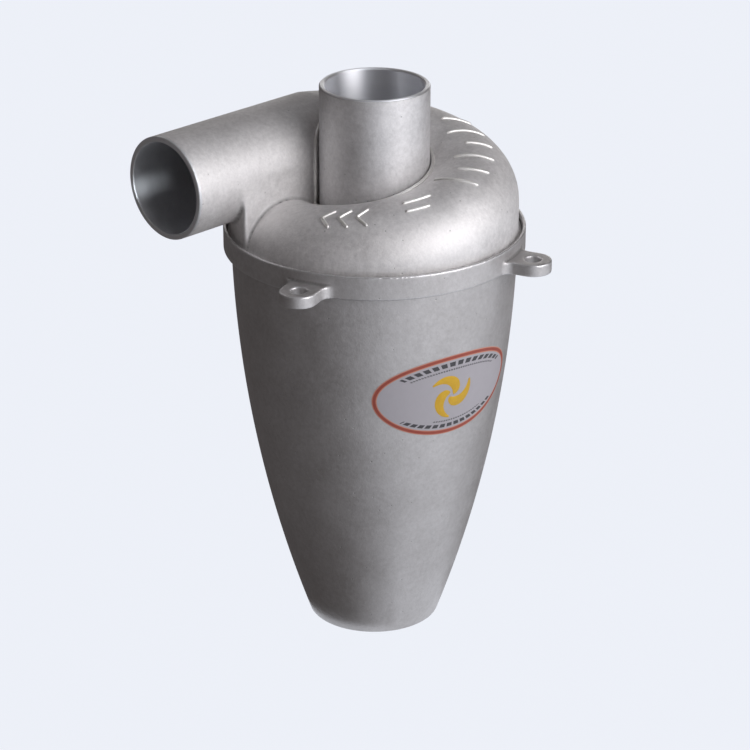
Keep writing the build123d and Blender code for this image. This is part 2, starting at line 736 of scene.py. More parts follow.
@dataclass(frozen=True)
class TickRow:
    """A row of plain ticks that follows the edge of an oval film, with its angles in degrees."""

    near: float
    far: float
    start: float
    end: float
    ticks: float
    inked: float

    def mask(self, board: Board, depth: Signal, turn: Signal) -> Signal:
        """Return 1 on the row's ticks.

        Args:
            board: The material's board.
            depth: The distance from the film's edge.
            turn: The angle round the film's centre, in degrees.

        Returns:
            The mask.
        """
        inside = (depth > self.near) * (depth < self.far) * (turn > self.start) * (turn < self.end)
        return inside * (board.math("FRACT", turn * (self.ticks / 360.0) + 20.0) < self.inked)


@dataclass(frozen=True)
class LabelFilm(Finish):
    """A printed oval film: silver ground, red border and rows of plain dark ticks."""

    half_width: float
    half_height: float
    silver: Triple = (0.56, 0.545, 0.59)
    red: Triple = (0.33, 0.042, 0.028)
    orange: Triple = (0.72, 0.32, 0.22)
    ink: Triple = (0.018, 0.018, 0.022)

    def shader(self, board: Board, place: Signal) -> Signal:
        """Return the finish as a shader.

        Args:
            board: The material's board.
            place: The position on the object; not used.

        Returns:
            The shader.
        """
        uv = board.put("ShaderNodeUVMap", {"uv_map": "print"})
        across, over, _ = board.axes(uv)
        x, y = (across - 0.5) * (2.0 * self.half_width), (over - 0.5) * (2.0 * self.half_height)
        fx, fy = x * (1.0 / self.half_width), y * (1.0 / self.half_height)
        reach = board.math("SQRT", fx * fx + fy * fy).most(0.01)
        steep = fx * fx / self.half_width**2 + fy * fy / self.half_height**2
        slope = board.math("SQRT", steep) / reach
        depth = (1.0 - reach) / slope
        turn = board.math("ARCTAN2", fy, fx) * (180.0 / math.pi)
        spot = board.vector(x, y, 0.0)
        haze = board.noise(spot, 220.0, 4.0, 0.6)
        grit = board.noise(spot, 2200.0, 2.0, 0.6)
        soft = 0.18 * MM
        shade = tuple(0.86 * c for c in self.silver)
        ground = board.blend((haze * 0.7 + grit * 0.3).clamp(), shade, self.silver)
        edge = depth.span(0.1 * MM, 0.1 * MM + soft)
        border = 1.0 - depth.span(2.3 * MM, 2.3 * MM + soft)
        glow = (depth.span(1.75 * MM, 2.1 * MM) + 1.0 - depth.span(0.35 * MM, 0.75 * MM)).clamp()
        band = board.blend(glow * 0.7 + haze * 0.25, self.red, self.orange)
        bold, fine, low, low_fine = (
            row.mask(board, depth, turn)
            for row in (
                TickRow(3.5 * MM, 5.7 * MM, 27.0, 142.0, 44.0, 0.68),
                TickRow(6.9 * MM, 7.7 * MM, 32.0, 140.0, 120.0, 0.72),
                TickRow(3.4 * MM, 5.2 * MM, -140.0, -38.0, 50.0, 0.72),
                TickRow(6.4 * MM, 7.1 * MM, -112.0, -50.0, 120.0, 0.72),
            )
        )
        inked = (bold + fine * 0.8 + low + low_fine * 0.8).clamp()
        colour = board.blend(inked * 0.92, ground, self.ink)
        colour = board.blend(border, colour, band)
        colour = board.blend(1.0 - edge, colour, (0.55, 0.42, 0.40))
        relief = {"Strength": 0.25, "Distance": 0.05 * MM, "Height": haze + grit * 0.4}
        bump = board.put("ShaderNodeBump", None, relief)
        values = {"Base Color": colour, "Roughness": 0.42 + haze * 0.12, "Normal": bump}
        return board.put("ShaderNodeBsdfPrincipled", None, values)


@dataclass(frozen=True)
class GoldPrint(Finish):
    """Gold ink that is thick enough to stand out from the film."""

    def shader(self, board: Board, place: Signal) -> Signal:
        """Return the finish as a shader.

        Args:
            board: The material's board.
            place: The position on the object.

        Returns:
            The shader.
        """
        haze = board.noise(place, 260.0, 3.0, 0.6)
        grit = board.noise(place, 2400.0, 2.0, 0.6)
        colour = board.blend((haze * 0.7 + grit * 0.3).clamp(), (0.62, 0.33, 0.02), (0.86, 0.56, 0.045))
        bump = board.put("ShaderNodeBump", None, {"Strength": 0.3, "Distance": 0.05 * MM, "Height": grit})
        values = {"Base Color": colour, "Metallic": 0.15, "Roughness": 0.4 + haze * 0.1, "Normal": bump}
        return board.put("ShaderNodeBsdfPrincipled", None, values)


@dataclass(frozen=True)
class Rubber(Finish):
    """Matt black sheet rubber."""

    def shader(self, board: Board, place: Signal) -> Signal:
        """Return the finish as a shader.

        Args:
            board: The material's board.
            place: The position on the object.

        Returns:
            The shader.
        """
        grit = board.noise(place, 1500.0, 3.0, 0.6)
        dust = board.noise(place, 90.0, 3.0, 0.6)
        colour = board.blend((dust * 0.8 + grit * 0.2).clamp(), (0.018, 0.018, 0.019), (0.06, 0.058, 0.055))
        bump = board.put("ShaderNodeBump", None, {"Strength": 0.4, "Distance": 0.1 * MM, "Height": grit})
        values = {"Base Color": colour, "Roughness": 0.72 + (grit - 0.5) * 0.2, "Normal": bump}
        return board.put("ShaderNodeBsdfPrincipled", None, values)


@dataclass
class Studio:
    """The camera, the lamps, the pale floor and the room round the object."""

    camera_place: Triple = (-0.8447, -0.8452, 0.6514)
    camera_aim: Triple = (0.00025, -0.00025, 0.11988)
    camera_lens: float = 134.4
    camera_roll: float = math.radians(0.10)
    pale: Triple = (0.872, 0.899, 0.965)
    floor_radius: float = 14.0
    flag_middle: float = math.radians(98.0)
    flag_reach: float = math.radians(147.5)
    flag_fade: float = math.radians(50.0)
    flag_height: tuple[float, float] = (0.5, 0.15)
    flag_glow: float = 0.10
    flag_line: tuple[tuple[float, float], ...] = (
        (0.034, 0.0005), (0.3, 0.002), (1.4, 0.002), (1.5, 0.4), (1.35, 0.9), (0.95, 1.35), (0.4, 1.6)
    )

    def camera(self) -> None:
        """Place the camera where the photograph was taken from."""
        data = bpy.data.cameras.new("camera")
        data.lens, data.sensor_width = self.camera_lens, 36.0
        data.clip_start, data.clip_end = 0.05, 60.0
        seat = bpy.data.objects.new("camera", data)
        place, aim = Vector(self.camera_place), Vector(self.camera_aim)
        turn = (aim - place).to_track_quat("-Z", "Y") @ Quaternion((0.0, 0.0, 1.0), self.camera_roll)
        seat.matrix_world = Matrix.Translation(place) @ turn.to_matrix().to_4x4()
        bpy.context.scene.collection.objects.link(seat)
        bpy.context.scene.camera = seat

    def lamp(self, name: str, place: tuple, aim: tuple, size: tuple, power: float, tint: tuple) -> None:
        """Hang one soft box.

        Args:
            name: The lamp's name.
            place: Where it hangs, in metres.
            aim: The point that it faces.
            size: Its width and height.
            power: Its power in watts.
            tint: Its colour.
        """
        data = bpy.data.lights.new(name, "AREA")
        data.shape, data.size, data.size_y = "RECTANGLE", *size
        self.hang(data, place, aim, power, tint)

    def snoot(self, name: str, place: tuple, aim: tuple, angle: float, power: float, tint: tuple) -> None:
        """Hang one small lamp with a narrow soft beam.

        Args:
            name: The lamp's name.
            place: Where it hangs, in metres.
            aim: The point that it faces.
            angle: The width of its beam, in degrees.
            power: Its power in watts.
            tint: Its colour.
        """
        data = bpy.data.lights.new(name, "SPOT")
        data.spot_size, data.spot_blend, data.shadow_soft_size = math.radians(angle), 1.0, 0.0025
        self.hang(data, place, aim, power, tint)

    def hang(self, data: bpy.types.Light, place: tuple, aim: tuple, power: float, tint: tuple) -> None:
        """Hang a lamp so that it faces a point.

        Args:
            data: The lamp.
            place: Where it hangs, in metres.
            aim: The point that it faces.
            power: Its power in watts.
            tint: Its colour.
        """
        data.energy, data.color = power, tint
        seat = bpy.data.objects.new(data.name, data)
        turn = (Vector(aim) - Vector(place)).to_track_quat("-Z", "Y")
        seat.matrix_world = Matrix.Translation(place) @ turn.to_matrix().to_4x4()
        seat.visible_camera = False
        bpy.context.scene.collection.objects.link(seat)

    def lamps(self) -> None:
        """Hang the soft boxes, with the main one front right, and the narrow lamps for the inlet's bore."""
        aim, warm = (0.0, 0.0, 0.13), (1.0, 0.975, 0.985)
        self.lamp("main_box", (0.12, -1.42, 0.72), aim, (0.9, 1.0), 13.0, warm)
        self.lamp("right_box", (0.77, -1.23, 0.8), aim, (0.4, 0.9), 2.2, warm)
        self.lamp("back_box", (0.9, 0.75, 0.35), aim, (0.8, 0.6), 1.8, (1.0, 0.985, 0.97))
        for index, (along, power) in enumerate(((-0.0865, 24.0), (-0.0805, 12.0), (-0.0735, 7.0))):
            spot, place = (along, 0.0625, 0.219), (along - 0.388, -0.4905, 0.401)
            self.snoot(f"bore_lamp_{index}", place, spot, 1.0, power, (0.9, 0.95, 1.0))
        self.lamp("top_box", (0.15, 0.1, 1.5), aim, (0.8, 0.8), 0.1, (1.0, 1.0, 1.0))

    def seen(self, board: Board) -> Signal:
        """Return 1 for camera, glossy and transmission rays, and 0 for the rest."""
        node = board.add("ShaderNodeLightPath")
        kinds = ("Camera", "Glossy", "Transmission")
        camera, glossy, clear = (Signal(board, node.outputs[f"Is {kind} Ray"]) for kind in kinds)
        return (camera + glossy + clear).clamp()

    def room(self) -> None:
        """Give the room a pale colour and a low even light."""
        world = bpy.data.worlds.new("room")
        world.use_nodes = True
        world.node_tree.nodes.clear()
        board = Board(world.node_tree)
        seen = self.seen(board)
        light = board.put("ShaderNodeBackground", None, {"Color": (0.9, 0.93, 1.0, 1.0), "Strength": 0.04})
        view = board.put("ShaderNodeBackground", None, {"Color": (*self.pale, 1.0), "Strength": 1.0})
        both = board.put("ShaderNodeMixShader", None, {0: seen, 1: light, 2: view})
        board.add("ShaderNodeOutputWorld", None, {"Surface": both})
        bpy.context.scene.world = world

    def floor(self) -> None:
        """Lay the floor, a pale disc that keeps the object's shadow."""
        mesh = bpy.data.meshes.new("floor")
        work = bmesh.new()
        bmesh.ops.create_circle(work, cap_ends=True, segments=96, radius=self.floor_radius)
        work.to_mesh(mesh)
        work.free()
        ground = bpy.data.objects.new("floor", mesh)
        bpy.context.scene.collection.objects.link(ground)
        made, board, place = blank("floor_paint")
        seen = self.seen(board)
        mottle = board.noise(place, 3.0, 2.0)
        paint = board.blend(mottle, (0.14, 0.142, 0.15), (0.16, 0.162, 0.17))
        dull = board.put("ShaderNodeBsdfDiffuse", None, {"Color": paint})
        glow = board.put("ShaderNodeEmission", None, {"Color": (*self.pale, 1.0), "Strength": 1.0})
        both = board.put("ShaderNodeMixShader", None, {0: seen * 0.97, 1: dull, 2: glow})
        close(board, both)
        mesh.materials.append(made)

    def flags(self) -> None:
        """Stand dark cloth round the object, which turns pale towards the front right, where it is open."""
        turns = np.linspace(self.flag_middle - self.flag_reach, self.flag_middle + self.flag_reach, 61)
        points = [(r * math.cos(a), r * math.sin(a), z) for a in turns for r, z in self.flag_line]
        size = len(self.flag_line)
        starts = [i * size + k for i in range(len(turns) - 1) for k in range(size - 1)]
        faces = [(a, a + size, a + size + 1, a + 1) for a in starts]
        mesh = bpy.data.meshes.new("flags")
        mesh.from_pydata(points, [], faces)
        cards = bpy.data.objects.new("flags", mesh)
        cards.visible_camera = False
        bpy.context.scene.collection.objects.link(cards)
        made, board, place = blank("dark_cloth")
        x, y, z = board.axes(place)
        toward = x * math.cos(self.flag_middle) + y * math.sin(self.flag_middle)
        reach = board.math("SQRT", x * x + y * y)
        turn = board.math("ARCCOSINE", toward / reach)
        weave = board.noise(place, 40.0, 2.0)
        glows = [[self.flag_glow * c for c in tint] for tint in ((0.98, 0.95, 0.97), (1.14, 1.0, 0.98))]
        fade = turn.span(self.flag_reach - self.flag_fade, self.flag_reach) * z.span(*self.flag_height)
        fade = fade * (0.5 + reach.span(0.05, 0.4) * 0.5)
        shade = board.blend(fade, board.blend(weave, *glows), self.pale)
        close(board, board.put("ShaderNodeEmission", None, {"Color": shade, "Strength": 1.0}))
        mesh.materials.append(made)

    def build(self) -> None:
        """Set up the whole studio."""
        bpy.context.scene.view_settings.view_transform = "Standard"
        self.camera()
        self.lamps()
        self.room()
        self.floor()
        self.flags()


@dataclass
class Barrel:
    """The lower casting: a shell that tapers in a bulging line, and the ring of ears at its top."""

    base_radius: float = 30.7 * MM
    waist_radius: float = 55.6 * MM
    shoulder_radius: float = 65.4 * MM
    shell_height: float = 185.7 * MM
    shoulder_draft: float = math.radians(1.5)
    wall: float = 3.0 * MM
    ring_radius: float = 69.0 * MM
    ring_top: float = 196.5 * MM
    rebate_radius: float = 67.6 * MM
    ledge_height: float = 189.5 * MM
    bore_radius: float = 62.4 * MM
    root: float = 1.4 * MM
    ear_count: int = 4
    first_ear: float = math.radians(20.0)
    ear_circle: float = 78.0 * MM
    ear_hole: float = 3.75 * MM
    ear_tip: float = 8.5 * MM
    ear_fillet: float = 5.0 * MM
    ear_thickness: float = 5.7 * MM
    voxel: float = 0.5 * MM

    @property
    def outside(self) -> tuple[Bend, Bend]:
        """Return the two arcs of the shell's outer line, from the ring down."""
        heading = (-math.sin(self.shoulder_draft), -math.cos(self.shoulder_draft))
        waist = (self.waist_radius, self.shell_height / 2.0)
        upper = Bend((self.shoulder_radius, self.shell_height), heading, waist)
        return upper, Bend(waist, upper.leaving, (self.base_radius, 0.0))

    @property
    def inside(self) -> tuple[Bend, Bend]:
        """Return the two arcs of the shell's inner line, from the ring down."""
        upper, lower = self.outside
        top = (self.shoulder_radius + self.wall / upper.heading[1], self.shell_height)
        waist = (self.waist_radius + self.wall / lower.heading[1], self.shell_height / 2.0)
        inner = Bend(top, upper.heading, waist)
        return inner, Bend(waist, inner.leaving, (self.base_radius + self.wall / lower.leaving[1], 0.0))

    def shell(self, material: Material) -> Piece:
        """Return the tapered shell, turned from its half section, with its top end inside the ring.

        Args:
            material: Its material.

        Returns:
            The piece.
        """
        steps, edge, tuck = 44, 0.5 * MM, 1.2 * MM
        outer = [p for bend in self.outside for p in bend.points(steps)]
        inner = [p for bend in self.inside for p in bend.points(steps)]
        outer = [p for p in outer[: steps - 1] + outer[steps:] if p[1] > edge * 1.5]
        inner = [p for p in inner[: steps - 1] + inner[steps:] if p[1] > edge * 1.5]
        foot, heel = self.base_radius, self.base_radius - self.wall
        profile = [(outer[0][0] - 0.4 * MM, self.shell_height + tuck)] + outer
        profile += [(foot + 0.2 * MM, edge), (foot - 0.1 * MM, 0.12 * MM), (foot - edge, 0.0)]
        profile += [(heel + edge, 0.0), (heel + 0.1 * MM, 0.12 * MM), (heel + 0.1 * MM, edge)]
        profile += inner[::-1] + [(inner[0][0] + 0.4 * MM, self.shell_height + tuck)]
        turned = Lathe(Heading.UPRIGHT, sides=288).turn("barrel_shell", profile)
        return finished("barrel_shell", turned, material, 50.0)

    def ear(self) -> Mesh:
        """Return one ear on the +X side as a closed block with round sides."""
        side = self.ear_tip + self.ear_fillet
        away = math.sqrt((self.ring_radius + self.ear_fillet) ** 2 - side**2)
        start = math.atan2(side, away)
        inner = (self.ring_radius + self.rebate_radius) / 2.0
        line = [(inner * math.cos(a), inner * math.sin(a)) for a in np.linspace(0.0, start, 8)[1:]]
        for a in np.linspace(start + math.pi, 1.5 * math.pi, 12):
            line.append((away + self.ear_fillet * math.cos(a), side + self.ear_fillet * math.sin(a)))
        for a in np.linspace(math.pi / 2.0, 0.0, 20):
            line.append((self.ear_circle + self.ear_tip * math.cos(a), self.ear_tip * math.sin(a)))
        outline = line + [(x, -y) for x, y in line[-2::-1]] + [(inner, 0.0)]
        low, high = self.shell_height, self.shell_height + self.ear_thickness
        return loft("ear", [[(x, y, z) for x, y in outline] for z in (low, high)], False)

    def ring(self, material: Material) -> Piece:
        """Return the ring and its ears in one piece, as it comes out of the mould.

        Args:
            material: Its material.

        Returns:
            The piece.
        """
        sizes = {
            "Ring Radius": self.ring_radius,
            "Ring Top": self.ring_top,
            "Ring Base": self.shell_height,
            "Rebate Radius": self.rebate_radius,
            "Ledge Height": self.ledge_height,
            "Bore Radius": self.bore_radius,
            "Root": self.root,
            "Shell Radius": self.shoulder_radius,
            "Ear Circle": self.ear_circle,
            "Ear Hole": self.ear_hole,
            "First Ear": self.first_ear,
        }
        forge = Forge("ring_of_ears", sizes, True)
        size = forge.size
        base, top, root, shell = size("Ring Base"), size("Ring Top"), size("Root"), size("Shell Radius")
        body = forge.cone(base, top, size("Ring Radius"), size("Ring Radius"))
        skirt = forge.cone(base - root * 1.3, base + 1.0 * MM, shell - 0.15 * MM, shell + root)
        ears = forge.spread(forge.given, self.ear_count, size("First Ear"))
        whole = forge.fuse("UNION", [body, skirt, ears])
        wide = size("Rebate Radius")
        rebate = forge.cone(size("Ledge Height"), top + 5.0 * MM, wide, wide)
        bore = forge.cone(base - 5.0 * MM, top + 5.0 * MM, size("Bore Radius"), size("Bore Radius"))
        spot = [forge.vector(size("Ear Circle"), 0.0, end) for end in (base - 5.0 * MM, top + 5.0 * MM)]
        holes = forge.spread(forge.rod(*spot, size("Ear Hole"), 48), self.ear_count, size("First Ear"))
        whole = forge.fuse("DIFFERENCE", [rebate, bore, holes], whole)
        sharp = forge.bake("barrel_ring", whole, material, self.ear())
        made = soften(sharp, self.voxel, 1.0, material)
        mark_wear_and_shade(made, 2)
        return made

    def build(self) -> None:
        """Make the barrel's pieces."""
        material = BlastedCasting("barrel_casting").material()
        ship(self.shell(material), "cast_barrel", "barrel")
        ship(self.ring(material), "cast_barrel", "barrel")


@dataclass
class Label:
    """The oval label on the barrel: a printed film and a thick gold whirl at its middle."""

    barrel: Barrel
    half_width: float = 39.0 * MM
    half_height: float = 20.0 * MM
    centre_height: float = 133.3 * MM
    centre_angle: float = math.radians(-100.0)
    lean: float = 0.096
    film: float = 0.12 * MM
    glue: float = 0.1 * MM
    whirl_reach: float = 11.4 * MM
    whirl_shift: float = -1.2 * MM
    whirl_arms: int = 3
    whirl_twist: float = 2.3
    whirl_half_width: float = 2.5 * MM

    def wrap(self, name: str, mesh: Mesh, material: Material) -> Piece:
        """Lay a flat mesh on the barrel.

        Args:
            name: The piece's name.
            mesh: The mesh, drawn flat with x along the label, y up it and z off it.
            material: Its material.

        Returns:
            The piece.
        """
        bend = self.barrel.outside[0]
        (cone, level), radius = bend.centre, abs(bend.radius)
        middle = cone + math.sqrt(radius**2 - (self.centre_height - level) ** 2)
        sizes = {
            "Arc Centre Radius": cone,
            "Arc Centre Height": level,
            "Arc Radius": radius,
            "Label Height": self.centre_height,
            "Label Angle": self.centre_angle,
            "Barrel Lean": self.lean,
            "Barrel Radius": middle,
        }
        forge = Forge(name + "_wrap", sizes, True)
        size = forge.size
        x, y, off = forge.place()
        height = size("Label Height") + y + x * x * size("Barrel Lean") * (0.5 / middle)
        fall = height - size("Arc Centre Height")
        square = size("Arc Radius") * size("Arc Radius") - fall * fall
        reach = size("Arc Centre Radius") + forge.math("SQRT", square)
        angle = size("Label Angle") + x / size("Barrel Radius")
        out = reach + off
        east, north = out * forge.math("COSINE", angle), out * forge.math("SINE", angle)
        place = forge.vector(east, north, height - off * size("Barrel Lean"))
        laid = forge.put("GeometryNodeSetPosition", None, {"Geometry": forge.given, "Position": place})
        return forge.bake(name, laid, material, mesh)

    def oval(self) -> Mesh:
        """Return the film, drawn flat, with its printing coordinates."""
        turns, steps = 192, 22
        rings = []
        middle, under = 0.02, -self.glue
        spread = [(s, self.film) for s in np.linspace(middle, 0.985, steps)]
        spread += [(1.0, self.film * 0.5), (1.0, under), (0.5, under), (middle, under)]
        for index in range(turns):
            angle = math.tau * index / turns
            x, y = self.half_width * math.cos(angle), self.half_height * math.sin(angle)
            rings.append([(x * s, y * s, z) for s, z in spread])
        mesh = loft("label_film", rings, True)
        work = bmesh.new()
        work.from_mesh(mesh)
        bmesh.ops.holes_fill(work, edges=[e for e in work.edges if e.is_boundary])
        layer = work.loops.layers.uv.new("print")
        for face in work.faces:
            for corner in face.loops:
                x, y = corner.vert.co.x, corner.vert.co.y
                corner[layer].uv = (x / self.half_width / 2.0 + 0.5, y / self.half_height / 2.0 + 0.5)
        work.to_mesh(mesh)
        work.free()
        return mesh

    def whirl(self) -> Mesh:
        """Return the whirl's arms, drawn flat, each a closed lens that tapers to both ends."""
        points, faces, steps = [], [], 26
        upper = [(-1.0, 0.14), (-0.7, 0.25), (0.0, 0.32), (0.7, 0.25), (1.0, 0.14)]
        lens = [(s, z * MM) for s, z in upper + [(0.7, 0.03), (-0.7, 0.03)]]
        for arm in range(self.whirl_arms):
            rings = []
            for step in range(steps):
                t = step / (steps - 1)
                reach = self.whirl_reach * (0.1 + 0.9 * t)
                angle = math.tau * arm / self.whirl_arms + self.whirl_twist * t + 0.3
                half = self.whirl_half_width * math.sin(math.pi * (0.06 + 0.9 * t)) ** 0.8 * (1.15 - 0.3 * t)
                heading = angle + math.atan2(self.whirl_twist * reach, 0.9 * self.whirl_reach)
                side = (-math.sin(heading), math.cos(heading))
                x, y = reach * math.cos(angle) + self.whirl_shift, reach * math.sin(angle)
                rings.append([(x + side[0] * half * s, y + side[1] * half * s, z) for s, z in lens])
            mesh = loft("arm", rings, False)
            start = len(points)
            points += [v.co[:] for v in mesh.vertices]
            faces += [tuple(start + i for i in p.vertices) for p in mesh.polygons]
            bpy.data.meshes.remove(mesh)
        return plain_mesh("label_whirl", points, faces)

    def build(self) -> None:
        """Make the label's pieces."""
        film = LabelFilm("label_film", self.half_width, self.half_height).material()
        ship(self.wrap("label_film", self.oval(), film), "cast_barrel")
        ship(self.wrap("label_whirl", self.whirl(), GoldPrint("gold_print").material()), "cast_barrel")


@dataclass
class Head:
    """The upper casting: a round passage that starts at the inlet and winds down round the outlet."""

    passage_radius: float = 42.1 * MM
    pipe_radius: float = 23.5 * MM
    wall: float = 3.0 * MM
    drop_per_turn: float = 44.0 * MM
    end_angle: float = 120.0
    axis_height: float = 224.5 * MM
    base_height: float = 191.0 * MM
    reach: float = 89.0 * MM
    drum_radius: float = 65.6 * MM
    flange_radius: float = 67.3 * MM
    flange_bore: float = 62.7 * MM
    flange_thickness: float = 3.0 * MM
    tube_radius: float = 25.1 * MM
    mouth_radius: float = 21.0 * MM
    mouth_depth: float = 40.0 * MM
    bead_lift: float = 0.7 * MM
    bead_radius: float = 0.9 * MM
    rib_radius: float = 0.8 * MM
    voxel: float = 0.8 * MM
    faces_kept: float = 0.73

    def sizes(self) -> dict[str, float]:
        """Return the named inputs of the casting's tree."""
        return {
            "Passage Radius": self.passage_radius,
            "Pipe Radius": self.pipe_radius,
            "Wall": self.wall,
            "Drop Per Turn": self.drop_per_turn,
            "End Angle": math.radians(self.end_angle),
            "Axis Height": self.axis_height,
            "Base Height": self.base_height,
            "Reach": self.reach,
            "Drum Radius": self.drum_radius,
            "Flange Radius": self.flange_radius,
            "Flange Bore": self.flange_bore,
            "Flange Thickness": self.flange_thickness,
            "Tube Radius": self.tube_radius,
            "Mouth Radius": self.mouth_radius + 0.6 * MM,
            "Mouth Depth": self.mouth_depth,
        }

    def spiral(self, forge: Forge, radius: Term, low: Term) -> Signal:
        """Return a solid with a round top that winds down a screw line from the inlet.

        Args:
            forge: The tree.
            radius: The radius of its round top.
            low: The height of its flat underside.

        Returns:
            The solid.
        """
        prism = forge.rod((0.0, 0.0, 0.0), (1.0, 0.0, 0.0), 1.0, 96, 150)
        along, across, over = forge.place()
        crown = over > -0.001
        side = crown * across + (1.0 - crown) * (across * math.sqrt(2)).clamp(-1.0, 1.0)
        turn = 2.5 * math.pi - forge.size("End Angle")
        angle = forge.size("End Angle") + turn * along
        centre = forge.size("Axis Height") - forge.size("Drop Per Turn") * (1.0 - along) * turn / math.tau
        fall = (over * -math.sqrt(2)).clamp()
        level = centre + crown * radius * over + (1.0 - crown) * (low - centre) * fall
        out = forge.size("Passage Radius") - radius * side
        place = forge.vector(out * forge.math("COSINE", angle), out * forge.math("SINE", angle), level)
        return forge.put("GeometryNodeSetPosition", None, {"Geometry": prism, "Position": place})

    def passage(self, forge: Forge, inset: Term, overrun: float) -> Signal:
        """Return the passage as a solid: spiral, inlet and the space under the inlet.

        Args:
            forge: The tree.
            inset: How far its surface lies inside the outer skin.
            overrun: How far it runs past the inlet's mouth.

        Returns:
            The solid.
        """
        radius = forge.size("Pipe Radius") - inset
        low = forge.size("Base Height") - 14.0 * MM
        y, z = forge.size("Passage Radius"), forge.size("Axis Height")
        start = forge.vector(0.8 * MM, y, z)
        pipe = forge.rod(start, forge.vector(-forge.size("Reach") - overrun, y, z), radius)
        drum = forge.size("Drum Radius") - inset
        disc = forge.rod(forge.vector(0.0, 0.0, low), forge.vector(0.0, 0.0, z), drum, 320)
        side = y - radius
        corner = forge.block((drum * -1.1, side, low - 5.0 * MM), (0.8 * MM, drum * 1.1, z + 5.0 * MM))
        under = forge.fuse("INTERSECT", [disc, corner])
        return forge.fuse("UNION", [self.spiral(forge, radius, low), pipe, under])

    def post(self, forge: Forge, low: Term, high: Term, radius: str, sides: int) -> Signal:
        """Return an upright rod on the Z axis, from one height to another.

        Args:
            forge: The tree.
            low: The height of its underside.
            high: The height of its top.
            radius: The named input that gives its radius.
            sides: The number of its sides.

        Returns:
            The rod.
        """
        ends = (forge.vector(0.0, 0.0, height) for height in (low, high))
        return forge.rod(*ends, forge.size(radius), sides)

    def casting(self, material: Material) -> Piece:
        """Return the casting with its walls, flange and bores.

        Args:
            material: Its material.

        Returns:
            The piece.
        """
        forge = Forge("spiral_casting", self.sizes())
        size = forge.size
        outer = self.passage(forge, 0.0, 0.0)
        inner = self.passage(forge, size("Wall"), 5.0 * MM)
        base, top = size("Base Height"), size("Axis Height") + size("Pipe Radius") * 1.5
        wide = size("Drum Radius") * 1.2
        below = forge.block((-wide, -wide, base - 20.0 * MM), (wide, wide, base))
        flange_top = base + size("Flange Thickness")
        flange = self.post(forge, base, flange_top, "Flange Radius", 320)
        flange_hole = self.post(forge, base - 1.0 * MM, flange_top + 1.0 * MM, "Flange Bore", 320)
        flange = forge.fuse("DIFFERENCE", [flange_hole], flange)
        hole = self.post(forge, base, top, "Tube Radius", 256)
        y, z = size("Passage Radius"), size("Axis Height")
        mouth_end = forge.vector(size("Mouth Depth") - size("Reach"), y, z)
        mouth = forge.rod(forge.vector(-size("Reach") - 5.0 * MM, y, z), mouth_end, size("Mouth Radius"))
        shell = forge.fuse("DIFFERENCE", [inner, below, mouth], outer)
        shell = forge.fuse("UNION", [shell, flange])
        shell = forge.fuse("DIFFERENCE", [hole], shell)
        made = soften(forge.bake("head_casting", shell, material), self.voxel, self.faces_kept, material)
        mark_wear_and_shade(made)
        return made

    def crown(self, angle: float, reach: float) -> float:
        """Return the height of the roof's skin.

        Args:
            angle: The angle round the axis, in radians, at most a quarter turn.
            reach: The distance from the axis.

        Returns:
            The height.
        """
        centre = self.axis_height - self.drop_per_turn * (math.pi / 2.0 - angle) / math.tau
        return centre + math.sqrt(max(self.pipe_radius**2 - (reach - self.passage_radius) ** 2, 0.0))

    def mouth(self, material: Material) -> Piece:
        """Return the turned bore of the inlet with its square rim.

        Args:
            material: Its material.

        Returns:
            The piece.
        """
        skin, bore, end = self.pipe_radius - 0.03 * MM, self.mouth_radius, self.reach
        back, deep = end - 3.0 * MM, end - self.mouth_depth
        profile = [(bore + 1.0 * MM, back), (skin, back), (skin, end - 0.3 * MM), (skin - 0.3 * MM, end)]
        profile += [(bore + 0.3 * MM, end), (bore, end - 0.3 * MM), (bore, deep), (bore + 1.0 * MM, deep)]
        lathe = Lathe(Heading.ALONG_INLET, (self.passage_radius, self.axis_height))
        return finished("inlet_mouth", lathe.turn("inlet_mouth", profile), material)

    def rib_lines(self) -> Mesh:
        """Return the roof's raised marks as lines, drawn flat with x the angle and y the radius."""
        inner, outer, short = 36.0 * MM, 54.0 * MM, 5.0 * MM
        lines = []
        for index in range(6):
            angle = math.radians(-88.0 + 17.0 * index)
            lines.append([(angle, inner + short * (index % 2)), (0.78 * angle - 0.14, outer)])
        for start, end, reach in ((-120.0, -103.0, 46.5), (-120.0, -107.0, 52.0)):
            lines.append([(math.radians(start), reach * MM), (math.radians(end), reach * MM)])
        for tip in (math.radians(-162.0), math.radians(-153.0), math.radians(-144.0)):
            lines += [[(tip, 51.0 * MM), (tip + 0.1, (51.0 + side) * MM)] for side in (-5.0, 5.0)]
        points = [(*point, 0.0) for line in lines for point in line]
        return plain_mesh("rib_lines", points, [], [(2 * i, 2 * i + 1) for i in range(len(lines))])

